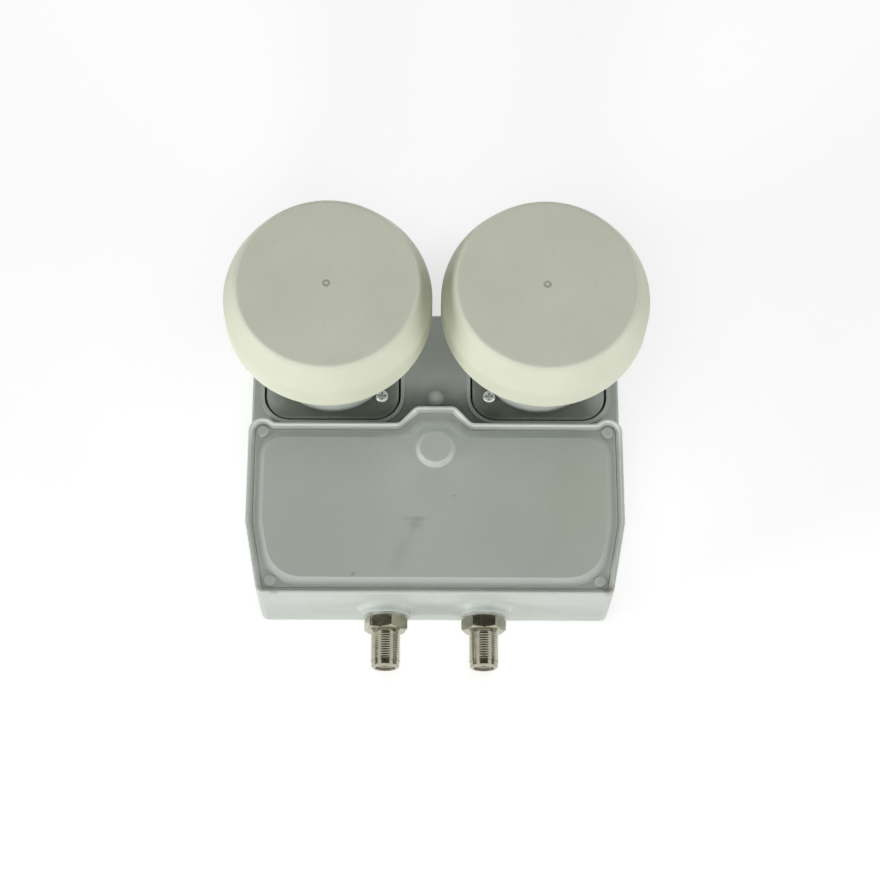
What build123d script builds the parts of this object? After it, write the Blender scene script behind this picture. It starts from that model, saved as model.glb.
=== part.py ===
from build123d import *
from math import atan2, cos, radians, sin, sqrt, tan
import os

# Twin-feed satellite low-noise block: a die-cast box lying on its back, two feed horns
# under round weather caps, an inset front cover with a moat, and two coaxial outlets.
# X runs across the horns, +Y away from the outlets, +Z along the horns; back face at Z = 0.

# Horn layout
cap_clearance = 2.7
cover_length = 59.0
rim_from_pocket = 1.9

# Box levels
body_depth = 28.5
rim_rise = 4.0
moat_depth = 1.5
floor_thickness = 3.0

# Box plan
wall = 4.2
side_step = 0.6
taper_run = 4.4
taper_length = 24.3
front_corner = 2.5
plate_edge = 1.0
rim_edge = 0.7
back_edge = 1.0

# Bump of the rim round the cover's boss
bump_rise = 5.9
bump_foot = 12.0
bump_top = 6.6
bump_round = 3.4
bump_blend = 2.5

# Swaged posts that hold the cover, and the rim's ears round the upper two
ear_radius = 4.7
ear_blend = 1.8
post_radius = 1.3
post_hole_gap = 0.15
post_head_radius = 2.0
post_head_height = 0.8
post_head_round = 0.7
post_below_rim = 3.1
post_from_corner = 4.0
post_above_wall = 4.5
column_radius = 4.0

# Front cover
rim_land = 0.8
recess_inset = 2.2
seam_gap = 0.12
cover_thickness = 1.6
gasket_thickness = 0.8
panel_inset = 2.9
panel_slope = 2.5
panel_foot = 0.1
panel_top_corner = 9.0
panel_front_corner = 14.5
panel_waist_round = 20.0
panel_edge = 0.5
bulge_margin = 4.9
bulge_blend = 4.0
boss_below_rim = 9.5
boss_radius = 6.4
boss_top_radius = 5.4
boss_height = 2.2
boss_edge = 0.6

# Upper plate with the flange pockets
flange_margin = 2.3
flange_corner = 8.0
flange_thickness = 2.5
flange_edge = 0.5
flange_gap = 0.7
lip_width = 1.2
lip_height = 0.8
pocket_depth = 2.7
lobe_margin = 2.9
lobe_corner = 12.0
valley_depth = 10.9
valley_round = 3.0
valley_lip_round = 6.0
pad_radius = 2.6
pad_height = 0.5
pad_above_rim = 9.8

# Waveguides cast into the box, and the hollows cored round them from the back
waveguide_radius = 9.0
cup_wall = 3.0
cup_floor = 3.0
waveguide_depth = 17.3
core_roof = 7.0
core_wall = 3.0
core_corner = 9.0
rib_width = 2.6
duct_width = 8.0

# Feed horn
neck_radius = 19.8
neck_blend = 3.0
neck_wall = 3.7
throat_length = 5.0
cone_length = 26.0
flare_wall = 2.6
ring_wall = 1.5
ring_floor = 2.2
ring_step = 1.4
horn_gasket_thickness = 0.8
gasket_edge_gap = 0.1
gasket_bore_margin = 1.5

# Weather cap
cap_height = 59.4
cap_radius = 33.05
cap_flat_radius = 28.8
cap_cone_drop = 9.8
cap_skirt = 10.5
cap_wall = 1.8
cap_edge = 1.9
cap_shoulder = 8.0
cap_foot = 0.7
cap_gap = 0.15
bead_depth = 0.8
bead_height = 1.5
bead_gap = 0.15
gate_radius = 1.25
gate_depth = 0.4
gate_nub = 0.5
seal_groove_depth = 1.2
seal_groove_width = 1.6
seal_gap = 0.05
seal_below_top = 2.6
cap_axial_gap = 0.4

# Horn screws, in two opposite corners of each flange
screw_neck_gap = 0.1
screw_angle = 41.5
screw_radius = 1.25
screw_hole_gap = 0.2
screw_thread_gap = 0.05
screw_hole_depth_gap = 0.5
screw_length = 9.0
screw_head_radius = 2.15
screw_head_height = 1.7
screw_head_round = 0.7
screw_slot_width = 0.6
screw_slot_length = 2.6
screw_slot_depth = 0.8
screw_boss_wall = 2.0

# Coaxial outlets
outlet_spacing = 32.1
outlet_z = 15.5
outlet_boss_radius = 8.0
outlet_boss_length = 3.0
outlet_boss_blend = 2.0
shank_radius = 4.5
shank_gap = 0.1
shank_tail = 0.4
washer_thickness = 0.6
washer_width = 1.5
hex_across_flats = 12.7
hex_length = 4.4
hex_chamfer_slope = 0.6
hex_turn_left = 14.0
hex_turn_right = 0.0
thread_radius = 4.76
thread_relief_length = 1.0
thread_relief_depth = 0.6
barrel_length = 12.3
barrel_chamfer = 0.5
mouth_recess = 0.8
outlet_bore = 3.3
insulator_gap = 0.05
insulator_hole = 1.0
contact_radius = 1.2
contact_socket = 0.55
contact_socket_depth = 8.0
contact_setback = 2.0
contact_tail_radius = 0.5
contact_tail_reach = 3.0

# Circuit board and its shield
board_thickness = 1.0
board_gap = 0.8
solder_gap = 0.05
standoff_radius = 3.0
shield_gap = 5.0
shield_side_gap = 3.3
shield_height = 9.0
shield_roof = 1.5
shield_corner = 4.0
shield_screw_margin = 4.8
shield_rib = 3.4
shield_screw_radius = 1.25
shield_screw_head = 2.3
shield_screw_head_height = 1.6
shield_screw_bite = 6.0
tuning_screw_radius = 2.0
tuning_screw_length = 5.0
low_resonator_radius = 3.05
high_resonator_radius = 2.8
resonator_height = 2.5
regulator_size = (6.5, 6.1, 2.3)
switch_size = (9.9, 6.0, 1.6)
controller_size = (5.0, 6.2, 1.5)
lead_pitch = 1.27
lead_width = 0.4
lead_height = 0.3
lead_reach = 0.8

# Probes from the waveguides to the board
probe_radius = 0.6
probe_reach = 5.5
probe_tail = 1.4
bent_leg = 2.7
bent_probe_below_pocket = 3.4
probe_bend = 1.5
probe_arm = 4.5
sleeve_radius = 1.9
sleeve_gap = 0.05

# Reach within which a corner or a ring counts as lying where it is looked for
pick_gap = 0.02

# Levels worked out from the sizes
rim_z = body_depth + rim_rise
moat_z = rim_z - moat_depth
cover_bottom_z = moat_z - cover_thickness
ledge_z = cover_bottom_z - gasket_thickness
pocket_z = body_depth - pocket_depth
flange_z = pocket_z + horn_gasket_thickness
flange_top_z = flange_z + flange_thickness
cap_top_z = body_depth + cap_height
cap_cone_z = cap_top_z - cap_cone_drop
cap_bottom_z = cap_cone_z - cap_skirt
flare_z = cap_bottom_z + bead_height + bead_gap + cap_foot
cap_cone = atan2(cap_radius - cap_flat_radius, cap_cone_drop)
cap_inner_cone_z = cap_cone_z - cap_wall * tan(cap_cone / 2)
flare_top_z = cap_inner_cone_z - cap_axial_gap
board_top_z = outlet_z - contact_tail_radius - solder_gap
board_z = board_top_z - board_thickness
straight_probe_z = board_top_z + solder_gap + probe_radius
bent_probe_z = pocket_z - bent_probe_below_pocket
shield_z = board_top_z + shield_height
core_z = body_depth - core_roof

# Places worked out from the sizes: the part's box is centred on the origin in Y
horn_spacing = 2 * cap_radius + cap_clearance
flange_half = neck_radius + flange_margin
pocket_half = flange_half + flange_gap
pocket_corner = flange_corner + flange_gap
lip_half = pocket_half + lip_width
outlet_reach = outlet_boss_length + washer_thickness + hex_length + barrel_length
horn_to_rim = pocket_half + rim_from_pocket
horn_to_wall = horn_to_rim + cover_length
horn_y = (horn_to_wall + outlet_reach - cap_radius) / 2
rim_y = horn_y - horn_to_rim
wall_y = horn_y - horn_to_wall
bump_y = rim_y + bump_rise
taper_y = wall_y + taper_length
lobe_half = lip_half + lobe_margin
valley_rise = lobe_half - valley_depth
plate_half = horn_spacing / 2 + lobe_half
box_half = plate_half + side_step
front_half = box_half - taper_run
cover_inset = recess_inset + seam_gap
bulge_radius = boss_radius + bulge_margin
screw_reach = neck_radius + screw_head_radius + screw_neck_gap
boss_y = rim_y - boss_below_rim
pad_y = rim_y + pad_above_rim
post_x = box_half - ear_radius
post_y = rim_y - post_below_rim
front_post_x = front_half - post_from_corner
front_post_y = wall_y + post_above_wall
posts = [(post_x, post_y), (-post_x, post_y), (front_post_x, front_post_y), (-front_post_x, front_post_y)]
inner_rim_y = rim_y - wall
inner_wall_y = wall_y + wall
board_y = (inner_rim_y + inner_wall_y) / 2
boss_face_y = wall_y - outlet_boss_length
hex_back_y = boss_face_y - washer_thickness
barrel_back_y = hex_back_y - hex_length
barrel_end_y = barrel_back_y - barrel_length
cup_radius = waveguide_radius + cup_wall
waveguide_floor_z = pocket_z - waveguide_depth
cup_floor_z = waveguide_floor_z - cup_floor
cap_bore = cap_radius - cap_wall
flare_radius = cap_bore - cap_gap
mouth_radius = neck_radius - neck_wall
ring_groove = (flare_radius - flare_wall - mouth_radius) / 2 - ring_wall
shield_half_x = front_half - wall - shield_side_gap
shield_half_y = (inner_rim_y - inner_wall_y) / 2 - shield_gap
shield_screw_x = shield_half_x - shield_screw_margin
shield_screw_y = shield_half_y - shield_screw_margin
cell_x = shield_screw_x / 2
cell_y = shield_screw_y / 2
low_cells = {"left": (-1.5 * cell_x, board_y + cell_y), "right": (1.5 * cell_x, board_y + cell_y)}
high_cells = {"left": (-0.5 * cell_x, board_y + cell_y), "right": (0.5 * cell_x, board_y + cell_y)}
resonator_places = [*low_cells.values(), *high_cells.values()]
sides = {"left": -1, "right": 1}

os.makedirs("parts", exist_ok=True)


def save(piece, name):
    """Label a finished piece and write its own file."""
    piece.part.label = name
    export_step(piece.part, f"parts/{name}.step")


def horn_x(side):
    """Place of a horn's axis across the box."""
    return side * horn_spacing / 2


def axis_plane(side):
    """Upright plane through a horn's axis: radius along its X, height along its Y."""
    return Plane(origin=(horn_x(side), horn_y, 0), x_dir=(1, 0, 0), z_dir=(0, -1, 0))


def horn_axis(side):
    """Axis of a horn."""
    return Axis((horn_x(side), horn_y, 0), (0, 0, 1))


def screw_places(side):
    """Places of a horn's two screws: the corner by the cover's middle and the one opposite."""
    across_reach = side * screw_reach * cos(radians(screw_angle))
    along_reach = screw_reach * sin(radians(screw_angle))
    return [
        (horn_x(side) - across_reach, horn_y - along_reach),
        (horn_x(side) + across_reach, horn_y + along_reach),
    ]


def corners(sketch, y, low, high):
    """Corners of a plan on a line across the box, by their distance from the middle."""
    return sketch.vertices().filter_by(lambda v: abs(v.Y - y) < pick_gap and low < abs(v.X) < high)


def box_outline(inset):
    """Plan of the cover rim, with its bump and ears, drawn in by an inset."""
    taper = atan2(taper_run, taper_length)
    slope = atan2(bump_rise, bump_foot - bump_top)
    top_y = rim_y - inset
    front_y = wall_y + inset
    side_x = box_half - inset
    front_x = front_half + inset * (tan(taper) - 1 / cos(taper))
    bump_shift = inset * tan(slope / 2)
    ear = ear_radius - inset
    ear_start = (post_x - sqrt(ear**2 - (top_y - post_y) ** 2), top_y)
    with BuildSketch() as outline:
        with BuildLine():
            Polyline(
                (0, bump_y - inset),
                (bump_top - bump_shift, bump_y - inset),
                (bump_foot - bump_shift, top_y),
                ear_start,
            )
            ThreePointArc(ear_start, (post_x, post_y + ear), (side_x, post_y))
            Polyline(
                (side_x, post_y),
                (side_x, taper_y + inset * tan(taper / 2)),
                (front_x, front_y),
                (0, front_y),
            )
            mirror(about=Plane.YZ)
        make_face()
        fillet(corners(outline, front_y, bump_top, box_half), max(front_corner - inset, rim_land))
        fillet(corners(outline, bump_y - inset, pick_gap, bump_foot), max(bump_round - inset, rim_land))
        fillet(corners(outline, top_y, pick_gap, 2 * bump_foot), bump_blend + inset)
        fillet(corners(outline, top_y, 2 * bump_foot, post_x), ear_blend + inset)
    return outline.sketch


def box_inside(inset):
    """Plan of the box with straight sides, drawn in by an inset."""
    taper = atan2(taper_run, taper_length)
    front_x = front_half + inset * (tan(taper) - 1 / cos(taper))
    with BuildSketch() as inside:
        with BuildLine():
            Polyline(
                (0, rim_y - inset),
                (box_half - inset, rim_y - inset),
                (box_half - inset, taper_y + inset * tan(taper / 2)),
                (front_x, wall_y + inset),
                (0, wall_y + inset),
            )
            mirror(about=Plane.YZ)
        make_face()
    return inside.sketch


def room_outline(inset):
    """Plan of the board's room: inside the walls and clear of the corner columns."""
    with BuildSketch() as room:
        add(box_inside(wall + inset))
        with Locations(*posts):
            Circle(column_radius + inset, mode=Mode.SUBTRACT)
    return room.sketch


def panel_outline(inset):
    """Plan of the cover's raised panel, with its bulge round the boss, drawn in by an inset."""
    depth = panel_inset + inset
    waist_y = taper_y + depth * tan(atan2(taper_run, taper_length) / 2)
    with BuildSketch() as panel:
        add(box_inside(depth))
        fillet(corners(panel, wall_y + depth, pick_gap, box_half), panel_front_corner - inset)
        fillet(corners(panel, rim_y - depth, pick_gap, box_half), panel_top_corner - inset)
        fillet(corners(panel, waist_y, pick_gap, box_half), panel_waist_round)
        with Locations((0, boss_y)):
            Circle(bulge_radius - inset)
        fillet(corners(panel, rim_y - depth, pick_gap, bulge_radius), bulge_blend + inset)
    return panel.sketch


def plate_outline():
    """Plan of the plate that carries the horns: a lobe round each flange and a valley between."""
    inner_x = horn_spacing / 2 - lobe_half
    lobe_y = horn_y + lobe_half
    valley_y = horn_y + valley_rise
    with BuildSketch() as plate:
        with BuildLine():
            Polyline(
                (0, rim_y - recess_inset),
                (plate_half, rim_y - recess_inset),
                (plate_half, lobe_y),
                (inner_x, lobe_y),
                (inner_x, valley_y),
                (0, valley_y),
            )
            mirror(about=Plane.YZ)
        make_face()
        fillet(corners(plate, lobe_y, horn_spacing / 2, box_half), lobe_corner)
        fillet(corners(plate, lobe_y, pick_gap, horn_spacing / 2 - lobe_corner), valley_lip_round)
        fillet(corners(plate, valley_y, pick_gap, horn_spacing / 2), valley_round)
    return plate.sketch


def core_outline():
    """Plan of the hollows cored from the back: cells between ribs round each waveguide cup."""
    core_half = lobe_half - core_wall
    valley_width = horn_spacing / 2 - lobe_half - rib_width
    valley_length = valley_rise + core_half - core_wall
    with BuildSketch() as core:
        for side in sides.values():
            with Locations((horn_x(side), horn_y)):
                RectangleRounded(2 * core_half, 2 * core_half, core_corner)
        for side in sides.values():
            with Locations((horn_x(side), horn_y)):
                with PolarLocations(0, 4, angular_range=180):
                    Rectangle(3 * core_half, rib_width, mode=Mode.SUBTRACT)
                Circle(cup_radius, mode=Mode.SUBTRACT)
                Rectangle(duct_width, 2 * core_half, align=(Align.CENTER, Align.MAX), mode=Mode.SUBTRACT)
            with Locations(*screw_places(side)):
                Circle(screw_radius + screw_boss_wall, mode=Mode.SUBTRACT)
        with Locations((0, horn_y - core_half)):
            with Locations((-valley_width / 2 - rib_width / 2, 0), (valley_width / 2 + rib_width / 2, 0)):
                Rectangle(valley_width, valley_length, align=(Align.CENTER, Align.MIN))
    return core.sketch


def shield_places(z):
    """Places of the screws that hold the shield and the board, at a level."""
    columns = (-shield_screw_x, 0, shield_screw_x)
    rows = (board_y - shield_screw_y, board_y + shield_screw_y)
    return [Location((x, y, z)) for x in columns for y in rows]


def outlet_axis(side):
    """Axis of a coaxial outlet."""
    return Axis((side * outlet_spacing / 2, 0, outlet_z), (0, 1, 0))


def outlet_plane(side):
    """Level plane through an outlet's axis: radius along its X, length along its Y."""
    return Plane(origin=(side * outlet_spacing / 2, 0, outlet_z))


def across(y):
    """Upright plane across the box at a place in Y, facing the outlets."""
    return Plane.XZ.offset(-y)


# Cast housing
with BuildPart() as housing:
    with BuildSketch():
        add(plate_outline())
    extrude(amount=body_depth)
    fillet(housing.faces().sort_by(Axis.Z)[-1].edges(), plate_edge)

    # Lower box with the cover's rim
    with BuildSketch():
        add(box_outline(0))
    extrude(amount=rim_z)
    fillet(housing.faces().sort_by(Axis.Z)[-1].edges(), rim_edge)
    chamfer(housing.faces().sort_by(Axis.Z)[0].edges(), back_edge)

    # Recess for the cover, bevelled down from the rim's land
    with BuildSketch(Plane.XY.offset(ledge_z)):
        add(box_outline(recess_inset))
    extrude(amount=rim_z - ledge_z, mode=Mode.SUBTRACT)
    land = housing.faces().sort_by(Axis.Z)[-1]
    chamfer(land.inner_wires().edges(), length=recess_inset - rim_land, length2=moat_depth, reference=land)

    # Room for the board, with the posts that the board and its shield are screwed to
    with BuildSketch(Plane.XY.offset(floor_thickness)):
        add(room_outline(0))
    extrude(amount=ledge_z - floor_thickness, mode=Mode.SUBTRACT)
    with Locations(*shield_places(floor_thickness)):
        Cylinder(standoff_radius, board_z - floor_thickness, align=(Align.CENTER, Align.CENTER, Align.MIN))
    with Locations(*shield_places(board_z)):
        Hole(shield_screw_radius + screw_thread_gap, depth=shield_screw_bite + screw_hole_depth_gap)

    # Raised lips and pockets for the horn flanges
    with BuildSketch(Plane.XY.offset(body_depth)):
        with Locations(*[(horn_x(side), horn_y) for side in sides.values()]):
            RectangleRounded(2 * lip_half, 2 * lip_half, pocket_corner + lip_width)
    extrude(amount=lip_height)
    with BuildSketch(Plane.XY.offset(pocket_z)):
        with Locations(*[(horn_x(side), horn_y) for side in sides.values()]):
            RectangleRounded(2 * pocket_half, 2 * pocket_half, pocket_corner)
    extrude(amount=pocket_depth + lip_height, mode=Mode.SUBTRACT)
    with Locations((0, pad_y, body_depth)):
        Cylinder(pad_radius, pad_height, align=(Align.CENTER, Align.CENTER, Align.MIN))

    # Hollows cored from the back, then the closed waveguides
    with BuildSketch():
        add(core_outline())
    extrude(amount=core_z, mode=Mode.SUBTRACT)
    with BuildSketch():
        with Locations(*[(horn_x(side), horn_y) for side in sides.values()]):
            Circle(cup_radius)
    extrude(amount=cup_floor_z, mode=Mode.SUBTRACT)
    for side in sides.values():
        with Locations((horn_x(side), horn_y, pocket_z)):
            Hole(waveguide_radius, depth=waveguide_depth)
        with Locations(*[(x, y, pocket_z) for x, y in screw_places(side)]):
            Hole(
                screw_radius + screw_thread_gap,
                depth=screw_length - flange_thickness - horn_gasket_thickness + screw_hole_depth_gap,
            )
    with BuildSketch(across(inner_rim_y)):
        with Locations(*[(horn_x(s), z) for s in sides.values() for z in (straight_probe_z, bent_probe_z)]):
            Circle(sleeve_radius + sleeve_gap)
    extrude(amount=inner_rim_y - horn_y, mode=Mode.SUBTRACT)

    # Bosses and bores for the outlets
    with BuildSketch(across(wall_y)):
        with Locations(*[(side * outlet_spacing / 2, outlet_z) for side in sides.values()]):
            Circle(outlet_boss_radius)
    extrude(amount=outlet_boss_length)
    boss_rings = housing.edges().filter_by(GeomType.CIRCLE).filter_by_position(Axis.Y, wall_y, wall_y)
    fillet(boss_rings.filter_by(lambda e: abs(e.radius - outlet_boss_radius) < pick_gap), outlet_boss_blend)
    with BuildSketch(across(boss_face_y)):
        with Locations(*[(side * outlet_spacing / 2, outlet_z) for side in sides.values()]):
            Circle(shank_radius + shank_gap)
    extrude(amount=-outlet_boss_length - wall, mode=Mode.SUBTRACT)

    # Posts swaged over the cover
    with Locations(*[(x, y, ledge_z) for x, y in posts]):
        Cylinder(post_radius, moat_z - ledge_z, align=(Align.CENTER, Align.CENTER, Align.MIN))
    with Locations(*[(x, y, moat_z) for x, y in posts]):
        Cylinder(post_head_radius, post_head_height, align=(Align.CENTER, Align.CENTER, Align.MIN))
    head_z = moat_z + post_head_height
    head_rings = housing.edges().filter_by(GeomType.CIRCLE).filter_by_position(Axis.Z, head_z, head_z)
    fillet(head_rings, post_head_round)
save(housing, "housing")

# Front cover: a pressed lid with a raised panel, a bulge and a boss
with BuildPart() as front_cover:
    with BuildSketch(Plane.XY.offset(cover_bottom_z)):
        add(box_outline(cover_inset))
    extrude(amount=cover_thickness)
    with BuildSketch(Plane.XY.offset(moat_z)):
        add(panel_outline(0))
    extrude(amount=moat_depth)
    panel_top = front_cover.faces().sort_by(Axis.Z)[-1]
    chamfer(panel_top.edges(), length=panel_slope, length2=moat_depth - panel_foot, reference=panel_top)
    fillet(front_cover.faces().sort_by(Axis.Z)[-1].edges(), panel_edge)
    with BuildSketch(Plane.XY.offset(cover_bottom_z)):
        add(panel_outline(panel_slope + panel_edge))
    extrude(amount=moat_depth, mode=Mode.SUBTRACT)
    with Locations((0, boss_y, rim_z)):
        Cone(boss_radius, boss_top_radius, boss_height, align=(Align.CENTER, Align.CENTER, Align.MIN))
    fillet(front_cover.faces().sort_by(Axis.Z)[-1].edges(), boss_edge)
    with Locations(*[(x, y, moat_z) for x, y in posts]):
        Hole(post_radius + post_hole_gap, depth=cover_thickness)
save(front_cover, "front_cover")

# Flat gasket between the cover and its ledge
with BuildPart() as cover_gasket:
    with BuildSketch(Plane.XY.offset(ledge_z)):
        add(box_outline(cover_inset))
        add(room_outline(0), mode=Mode.SUBTRACT)
        with Locations(*posts):
            Circle(post_radius + post_hole_gap, mode=Mode.SUBTRACT)
    extrude(amount=gasket_thickness)
save(cover_gasket, "cover_gasket")

# Feed horns: square flange, clamping neck and a mouth with choke rings
for name, side in sides.items():
    with BuildPart() as feed_horn:
        with BuildSketch(Plane.XY.offset(flange_z)):
            with Locations((horn_x(side), horn_y)):
                RectangleRounded(2 * flange_half, 2 * flange_half, flange_corner)
        extrude(amount=flange_thickness)
        fillet(feed_horn.faces().sort_by(Axis.Z)[-1].edges(), flange_edge)
        outer_groove = flare_radius - flare_wall
        inner_groove = outer_groove - ring_groove - ring_wall
        ring_z = flare_z + ring_floor
        seal_z = flare_top_z - seal_below_top
        with BuildSketch(axis_plane(side)):
            with BuildLine():
                Polyline(
                    (waveguide_radius, flange_z),
                    (neck_radius, flange_z),
                    (neck_radius, flare_z),
                    (flare_radius, flare_z),
                    (flare_radius, seal_z - seal_groove_width / 2),
                    (flare_radius - seal_groove_depth, seal_z - seal_groove_width / 2),
                    (flare_radius - seal_groove_depth, seal_z + seal_groove_width / 2),
                    (flare_radius, seal_z + seal_groove_width / 2),
                    (flare_radius, flare_top_z),
                    (outer_groove, flare_top_z),
                    (outer_groove, ring_z),
                    (outer_groove - ring_groove, ring_z),
                    (outer_groove - ring_groove, flare_top_z + ring_step),
                    (inner_groove, flare_top_z + ring_step),
                    (inner_groove, ring_z),
                    (inner_groove - ring_groove, ring_z),
                    (inner_groove - ring_groove, flare_top_z + 2 * ring_step),
                    (mouth_radius, flare_top_z + 2 * ring_step),
                    (mouth_radius, flange_top_z + throat_length + cone_length),
                    (waveguide_radius, flange_top_z + throat_length),
                    close=True,
                )
            make_face()
        revolve(axis=horn_axis(side))
        neck_rings = feed_horn.edges().filter_by(GeomType.CIRCLE)
        neck_rings = neck_rings.filter_by(lambda e: abs(e.radius - neck_radius) < pick_gap)
        fillet(neck_rings.sort_by(Axis.Z)[-1], neck_blend)
        with Locations((horn_x(side), horn_y, flange_top_z)):
            Hole(waveguide_radius, depth=flange_thickness)
        with Locations(*[(x, y, flange_top_z) for x, y in screw_places(side)]):
            Hole(screw_radius + screw_hole_gap, depth=flange_thickness)
    save(feed_horn, f"feed_horn_{name}")

    # Rubber gasket that shows as a dark line round the flange
    with BuildPart() as horn_gasket:
        gasket_half = pocket_half - gasket_edge_gap
        gasket_corner = pocket_corner - gasket_edge_gap
        with BuildSketch(Plane.XY.offset(pocket_z)):
            with Locations((horn_x(side), horn_y)):
                RectangleRounded(2 * gasket_half, 2 * gasket_half, gasket_corner)
                Circle(waveguide_radius + gasket_bore_margin, mode=Mode.SUBTRACT)
            with Locations(*screw_places(side)):
                Circle(screw_radius + screw_hole_gap, mode=Mode.SUBTRACT)
        extrude(amount=horn_gasket_thickness)
    save(horn_gasket, f"horn_gasket_{name}")

    # Weather cap, snapped over the rim of the horn
    with BuildPart() as feed_cap:
        bead_z = cap_bottom_z + cap_foot
        inner_flat = cap_flat_radius + cap_wall * (tan(cap_cone) - 1 / cos(cap_cone))
        with BuildSketch(axis_plane(side)) as cap_profile:
            with BuildLine():
                Polyline(
                    (0, cap_top_z),
                    (gate_nub, cap_top_z),
                    (gate_nub, cap_top_z - gate_depth),
                    (gate_radius, cap_top_z - gate_depth),
                    (gate_radius, cap_top_z),
                    (cap_flat_radius, cap_top_z),
                    (cap_radius, cap_cone_z),
                    (cap_radius, cap_bottom_z),
                    (cap_bore, cap_bottom_z),
                    (cap_bore, bead_z),
                    (cap_bore - bead_depth, bead_z + bead_height / 2),
                    (cap_bore - bead_depth, bead_z + bead_height),
                    (cap_bore, bead_z + bead_height),
                    (cap_bore, cap_inner_cone_z),
                    (inner_flat, cap_top_z - cap_wall),
                    (0, cap_top_z - cap_wall),
                    close=True,
                )
            make_face()
            rim = cap_profile.vertices().group_by(Axis.X)
            fillet(rim[-1].sort_by(Axis.Y)[-1], cap_shoulder)
            fillet(cap_profile.vertices().group_by(Axis.X)[-1].sort_by(Axis.Y)[0], cap_foot)
            tops = cap_profile.vertices().group_by(Axis.Y)[-1]
            fillet(tops.sort_by(Axis.X)[-1], cap_edge)
        revolve(axis=horn_axis(side))
    save(feed_cap, f"feed_cap_{name}")

    # Ring seal between the cap and the horn
    with BuildPart() as cap_seal:
        groove_floor = flare_radius - seal_groove_depth
        seal_radius = (cap_bore - groove_floor) / 2 - seal_gap
        with BuildSketch(axis_plane(side)):
            with Locations(((cap_bore + groove_floor) / 2, flare_top_z - seal_below_top)):
                Circle(seal_radius)
        revolve(axis=horn_axis(side))
    save(cap_seal, f"cap_seal_{name}")

# Pan-head screws of both flanges
with BuildPart() as horn_screws:
    seats = [(x, y, flange_top_z) for side in sides.values() for x, y in screw_places(side)]
    with Locations(*seats):
        Cylinder(screw_radius, screw_length, align=(Align.CENTER, Align.CENTER, Align.MAX))
        Cylinder(screw_head_radius, screw_head_height, align=(Align.CENTER, Align.CENTER, Align.MIN))
    fillet(horn_screws.edges().group_by(Axis.Z)[-1], screw_head_round)
    with Locations(*[(x, y, z + screw_head_height) for x, y, z in seats]):
        with PolarLocations(0, 2, angular_range=180):
            Box(
                screw_slot_length,
                screw_slot_width,
                screw_slot_depth,
                align=(Align.CENTER, Align.CENTER, Align.MAX),
                mode=Mode.SUBTRACT,
            )
save(horn_screws, "horn_screws")

# Coaxial outlets: threaded body, insulator, contact and sealing washer
for name, side in sides.items():
    shank_end_y = inner_wall_y + shank_tail
    socket_y = barrel_end_y + mouth_recess + contact_setback
    with BuildPart() as connector_body:
        root_radius = thread_radius - thread_relief_depth
        hex_middle_y = hex_back_y - hex_length / 2
        relief_y = barrel_back_y - thread_relief_length
        with BuildSketch(outlet_plane(side)):
            with BuildLine():
                Polyline(
                    (outlet_bore, shank_end_y),
                    (shank_radius, shank_end_y),
                    (shank_radius, hex_middle_y),
                    (root_radius, hex_middle_y),
                    (root_radius, relief_y),
                    (thread_radius, relief_y),
                    (thread_radius, barrel_end_y + barrel_chamfer),
                    (thread_radius - barrel_chamfer, barrel_end_y),
                    (outlet_bore, barrel_end_y),
                    close=True,
                )
            make_face()
        revolve(axis=outlet_axis(side))
        hex_turn = hex_turn_left if side < 0 else hex_turn_right
        with BuildSketch(across(hex_back_y)):
            with Locations((side * outlet_spacing / 2, outlet_z)):
                RegularPolygon(hex_across_flats / 2, 6, major_radius=False, rotation=hex_turn)
                Circle(outlet_bore, mode=Mode.SUBTRACT)
        extrude(amount=hex_length)
        flat_radius = hex_across_flats / 2
        with BuildSketch(outlet_plane(side)):
            for face_y, inward in ((hex_back_y, -1), (barrel_back_y, 1)):
                with BuildLine():
                    Polyline(
                        (flat_radius, face_y),
                        (hex_across_flats, face_y),
                        (hex_across_flats, face_y + inward * flat_radius * hex_chamfer_slope),
                        close=True,
                    )
                make_face()
        revolve(axis=outlet_axis(side), mode=Mode.SUBTRACT)
    save(connector_body, f"connector_body_{name}")

    with BuildPart() as connector_insulator:
        with BuildSketch(outlet_plane(side)):
            with BuildLine():
                Polyline(
                    (insulator_hole, barrel_end_y + mouth_recess),
                    (outlet_bore - insulator_gap, barrel_end_y + mouth_recess),
                    (outlet_bore - insulator_gap, shank_end_y),
                    (contact_radius + insulator_gap, shank_end_y),
                    (contact_radius + insulator_gap, socket_y),
                    (insulator_hole, socket_y),
                    close=True,
                )
            make_face()
        revolve(axis=outlet_axis(side))
    save(connector_insulator, f"connector_insulator_{name}")

    with BuildPart() as connector_contact:
        tail_y = inner_wall_y + board_gap + contact_tail_reach
        with BuildSketch(outlet_plane(side)):
            with BuildLine():
                Polyline(
                    (0, socket_y + contact_socket_depth),
                    (contact_socket, socket_y + contact_socket_depth),
                    (contact_socket, socket_y + insulator_gap),
                    (contact_radius, socket_y + insulator_gap),
                    (contact_radius, shank_end_y),
                    (contact_tail_radius, shank_end_y),
                    (contact_tail_radius, tail_y),
                    (0, tail_y),
                    close=True,
                )
            make_face()
        revolve(axis=outlet_axis(side))
    save(connector_contact, f"connector_contact_{name}")

    with BuildPart() as connector_washer:
        with BuildSketch(across(boss_face_y)):
            with Locations((side * outlet_spacing / 2, outlet_z)):
                Circle(shank_radius + shank_gap + washer_width)
                Circle(shank_radius + shank_gap, mode=Mode.SUBTRACT)
        extrude(amount=washer_thickness)
    save(connector_washer, f"connector_washer_{name}")

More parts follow.
